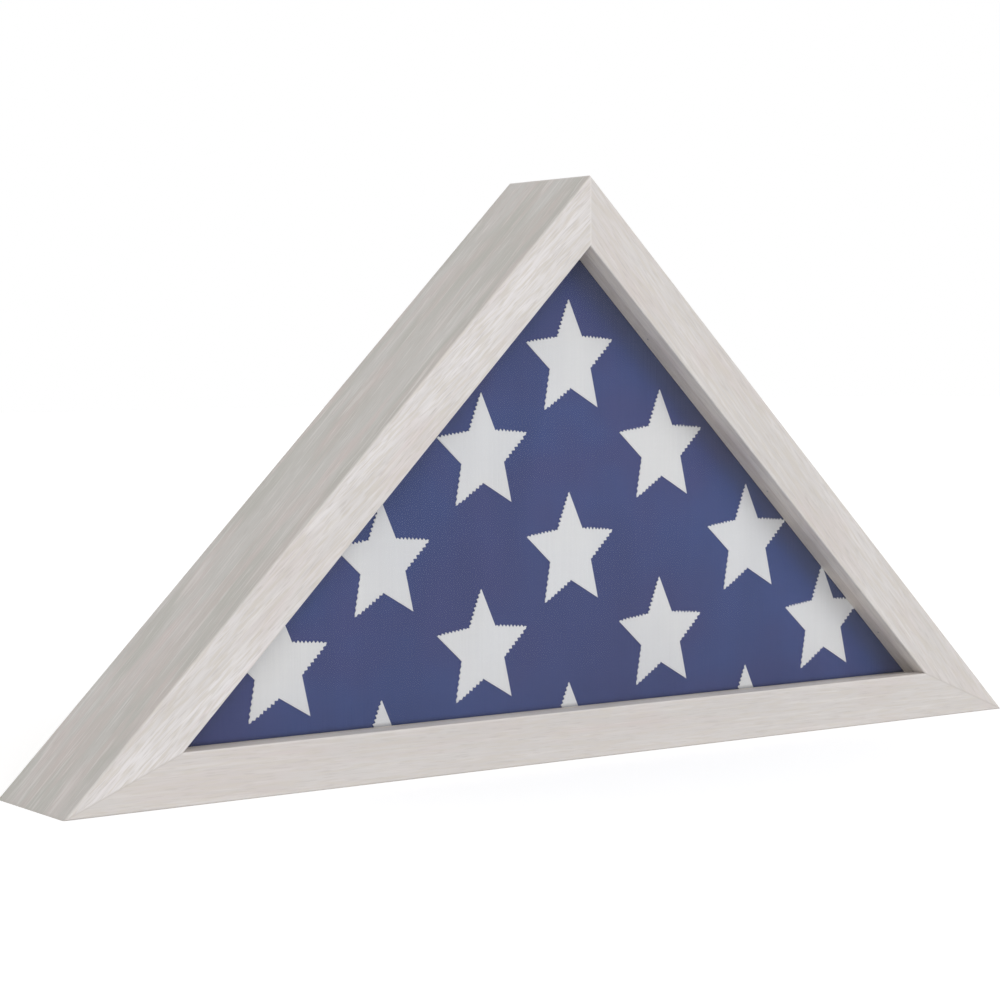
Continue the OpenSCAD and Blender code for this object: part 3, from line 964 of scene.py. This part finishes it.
        # Its rim is half a circle, a little thicker than the flap, which sinks into the bundle
        half, steps = self.flap_t / 2 + self.flap_rim, 6
        for k in range(steps + 1):
            turn = math.pi * k / steps
            reach = self.flap_r - half * (1 - math.sin(turn))
            y = self.back_y - half + half * -math.cos(turn)
            rings.append(mesh.ring(Vector((c.x + n.x * reach, y, c.y + n.y * reach)) for c, n, _ in samples))
        mesh.skin(rings)
        middle = (left + seam_low + seam_high + top) / 4
        for ring in (rings[0], rings[-1]):
            mesh.cap(ring, Vector((middle.x, mesh.points[ring[0]].y, middle.y)))
        return mesh.to_object("flag_tucked_flap", cloth)

    def stars(self) -> bpy.types.Object:
        """Makes the white stars, cut off where the bunting folds away at the bundle's edge.

        Returns:
            The stars' object.
        """
        mesh, rng = Mesh(), random.Random(50)
        thick = self.front_y - self.star_y
        # Each star is sewn down at its toothed rim and lies flat from just inside it: each level's shares of the
        # star's size, of the stitches' reach and of the cloth's thickness
        levels = ((0.93, 0.0, 0.0), (1.0, 1.0, 0.0), (1.0, 1.0, 0.75), (0.99, 0.7, 0.96), (0.93, 0.0, 1.0))
        for row, columns in enumerate(self.rows):
            for column in columns:
                drift = self.column_drift[column + len(self.column_drift) // 2]
                x = self.pitch_x * (column + drift) + self.row_slip[row][0]
                z = self.top_z - self.pitch_z * (row - self.row_drift[row]) + self.row_slip[row][1]
                shape = self.star.outline(rng)
                rings = []
                for share, teeth, rise in levels:
                    ring = [p * share + stitch * teeth for p, stitch in shape]
                    rings.append(mesh.ring(Vector((x + p.x, self.front_y - thick * rise, z + p.y)) for p in ring))
                mesh.skin(rings)
                mesh.cap(rings[-1], Vector((x, self.star_y, z)))
                mesh.cap(rings[0], Vector((x, self.front_y, z)))
        stars = mesh.to_object("sewn_stars", self.white.build(), smooth=False)
        self.cut_at_edge(stars)
        return stars

    def cut_at_edge(self, stars: bpy.types.Object) -> None:
        """Cuts the stars off along the triangle where the bundle's front ends.

        Args:
            stars: the stars' object.
        """
        corners = [Vector(p) for p in self.triangle(self.inset + self.fold_r)]
        work = bmesh.new()
        work.from_mesh(stars.data)
        for k in range(3):
            a, b = corners[k], corners[(k + 1) % 3]
            way = (b - a).normalized()
            parts = [*work.verts, *work.edges, *work.faces]
            bmesh.ops.bisect_plane(work, geom=parts, plane_co=(a.x, 0, a.y), plane_no=(way.y, 0, -way.x),
                                   clear_outer=True)
        bmesh.ops.recalc_face_normals(work, faces=work.faces)
        work.to_mesh(stars.data)
        work.free()

    def build(self) -> None:
        """Builds the bundle, its flap and its stars, and lets them ride with the flag."""
        navy = self.navy.build()
        bundle = self.bundle(navy)
        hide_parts("folded_flag")
        flap = self.tucked_flap(navy)
        stars = self.stars()
        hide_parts("flag_stars")
        for piece in (bundle, flap, stars):
            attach(piece, "flag")
            log.info("%s: %d faces", piece.name, len(piece.data.polygons))


@dataclass
class BackPanel:
    """The loose hardboard back."""

    board: Fibreboard = Fibreboard()

    def dress(self) -> None:
        """Gives the back its raw board finish and a slightly broken edge."""
        put_on("back_panel", self.board.build())
        soften("back_panel", 0.4)


@dataclass
class TurnButtons:
    """The six stamped turn buttons and their screws."""

    names: tuple[str, ...] = ("base_left", "base_right", "right_lower", "right_upper", "left_upper", "left_lower")
    black: BlackedSteel = BlackedSteel()

    def dress(self) -> None:
        """Gives buttons and screws their blacked finish, with stamped edges slightly broken."""
        finish = self.black.build()
        for name in self.names:
            put_on(f"turn_button_{name}", finish)
            soften(f"turn_button_{name}", 0.2)
        put_on("turn_button_screws", finish)


@dataclass
class Hangers:
    """The two hangers: folded strap, ring and screw."""

    zinc: ZincPlate = ZincPlate()

    def dress(self) -> None:
        """Gives straps, rings and screws bright zinc plate."""
        finish = self.zinc.build()
        for side in ("left", "right"):
            put_on(f"hanger_strap_{side}", finish)
            soften(f"hanger_strap_{side}", 0.2)
            put_on(f"d_ring_{side}", finish)
        put_on("hanger_screws", finish)


@dataclass
class WallBumpers:
    """The two rubber bumpers at the lower rear corners."""

    rubber: MouldedRubber = MouldedRubber()

    def dress(self) -> None:
        """Gives the bumpers their dull moulded finish."""
        put_on("wall_bumpers", self.rubber.build())
        soften("wall_bumpers", 0.3)


@dataclass(frozen=True)
class Lamp:
    """One broad, far lamp: where it stands, seen from the case, and how wide it looks, which softens its shadows."""

    name: str
    strength: float
    towards: Triple
    spread_deg: float

    def build(self) -> None:
        """Adds the lamp; a strength of pi lights a facing surface as its colour is written."""
        data = bpy.data.lights.new(self.name, "SUN")
        data.energy, data.angle = self.strength, math.radians(self.spread_deg)
        made = set_down(self.name, data)
        made.rotation_euler = Vector(self.towards).to_track_quat("Z", "Y").to_euler()


@dataclass
class Studio:
    """The pale floor, the white surround, the soft lamps and the camera.

    surround is how bright the world lights, and glow is what the floor adds where it is looked at, to show white.
    """

    surround: float = 0.56
    lamps: tuple[Lamp, ...] = (
        Lamp("key", 0.80, (0.32, -0.80, 0.50), 42),
        Lamp("side_fill", 1.10, (-0.62, -0.78, 0.03), 40),
        Lamp("rear_fill", 0.45, (0.2, 0.9, 0.35), 60),
    )
    floor_reach: float = 9.0
    floor_tone: str = "#E8E8E8"
    glow: float = 0.47
    camera_at: Triple = (-0.8773, -1.1905, 0.2282)
    camera_turn_deg: Triple = (86.8033, 0.3976, -35.267)
    lens_mm: float = 92.04
    sensor_mm: float = 36.0
    sight: Pair = (0.05, 50.0)

    def camera(self) -> None:
        """Sets the camera to the left in front, at two thirds of the case's height."""
        data = bpy.data.cameras.new("camera")
        data.lens, data.sensor_width = self.lens_mm, self.sensor_mm
        data.clip_start, data.clip_end = self.sight
        made = set_down("camera", data)
        made.location = self.camera_at
        made.rotation_euler = Euler(math.radians(a) for a in self.camera_turn_deg)
        bpy.context.scene.camera = made

    def seen_white(self, tree: bpy.types.NodeTree) -> Socket:
        """Tells what is looked at from what only lights.

        Args:
            tree: the node tree that asks.

        Returns:
            1 where the camera, a reflection or a view through the pane looks, and 0 where light is gathered.
        """
        rays = add(tree, "LightPath").node.outputs
        seen = rays["Is Camera Ray"]
        for name in ("Is Glossy Ray", "Is Transmission Ray"):
            seen = add(tree, "Math", {"operation": "MAXIMUM"}, {0: seen, 1: rays[name]})
        return seen

    def surround_world(self) -> None:
        """Makes the world white to look at and about half as bright to light with."""
        world = bpy.data.worlds.new("surround")
        bpy.context.scene.world = world
        world.use_nodes = True
        tree = world.node_tree
        level = add(tree, "MapRange", {"To Min": self.surround, "To Max": 1.0}, {"Value": self.seen_white(tree)})
        tree.nodes["Background"].inputs["Color"].default_value = WHITE
        tree.links.new(level, tree.nodes["Background"].inputs["Strength"])

    def floor(self) -> None:
        """Lays the pale floor, which shows white but keeps the case's soft shadow."""
        far = self.floor_reach
        data = bpy.data.meshes.new("floor")
        data.from_pydata([(-far, -far, 0), (far, -far, 0), (far, far, 0), (-far, far, 0)], [], [(0, 1, 2, 3)])
        made = set_down("floor", data)
        material = bpy.data.materials.new("floor_pale_matt")
        material.use_nodes = True
        tree = material.node_tree
        tree.nodes.remove(tree.nodes["Principled BSDF"])
        paint = add(tree, "BsdfDiffuse", {"Color": linear(self.floor_tone)})
        strength = add(tree, "Math", {"operation": "MULTIPLY", 1: self.glow}, {0: self.seen_white(tree)})
        light = add(tree, "Emission", {"Color": WHITE}, {"Strength": strength})
        both = add(tree, "AddShader", {}, {0: paint, 1: light})
        tree.links.new(both, tree.nodes["Material Output"].inputs["Surface"])
        data.materials.append(material)

    def build(self) -> None:
        """Sets up everything round the case."""
        bpy.context.scene.view_settings.view_transform = "Standard"
        self.camera()
        for lamp in self.lamps:
            lamp.build()
        self.surround_world()
        self.floor()


# ---- putting it together


def put_on(node: str, material: Material) -> None:
    """Gives a solid of the frame one finish all over.

    Args:
        node: the solid's name.
        material: the finish.
    """
    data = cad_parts[node].data
    data.materials.clear()
    data.materials.append(material)


def soften(node: str, width_mm: float, from_deg: float = 40.0) -> None:
    """Breaks a solid's sharp edges a little, so that they catch the light.

    Args:
        node: the solid's name.
        width_mm: the width of the broken edge.
        from_deg: how sharp an edge has to be.
    """
    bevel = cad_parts[node].modifiers.new("broken_edge", "BEVEL")
    bevel.width, bevel.segments = width_mm * MM, 2
    bevel.limit_method, bevel.angle_limit = "ANGLE", math.radians(from_deg)


def write_sizes() -> None:
    """Brings the scene's placements up to date."""
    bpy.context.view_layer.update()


def main() -> None:
    """Builds every sub-assembly in order and reports it."""
    steps: tuple[tuple[str, Callable[[], None]], ...] = (
        ("studio", Studio().build),
        ("case frame", CaseFrame().dress),
        ("glazing", Glazing().dress),
        ("folded flag", FoldedFlag().build),
        ("back panel", BackPanel().dress),
        ("turn buttons", TurnButtons().dress),
        ("hangers", Hangers().dress),
        ("wall bumpers", WallBumpers().dress),
    )
    for name, step in steps:
        step()
        log.info("done: %s", name)
    write_sizes()


if __name__ == "__main__":
    main()
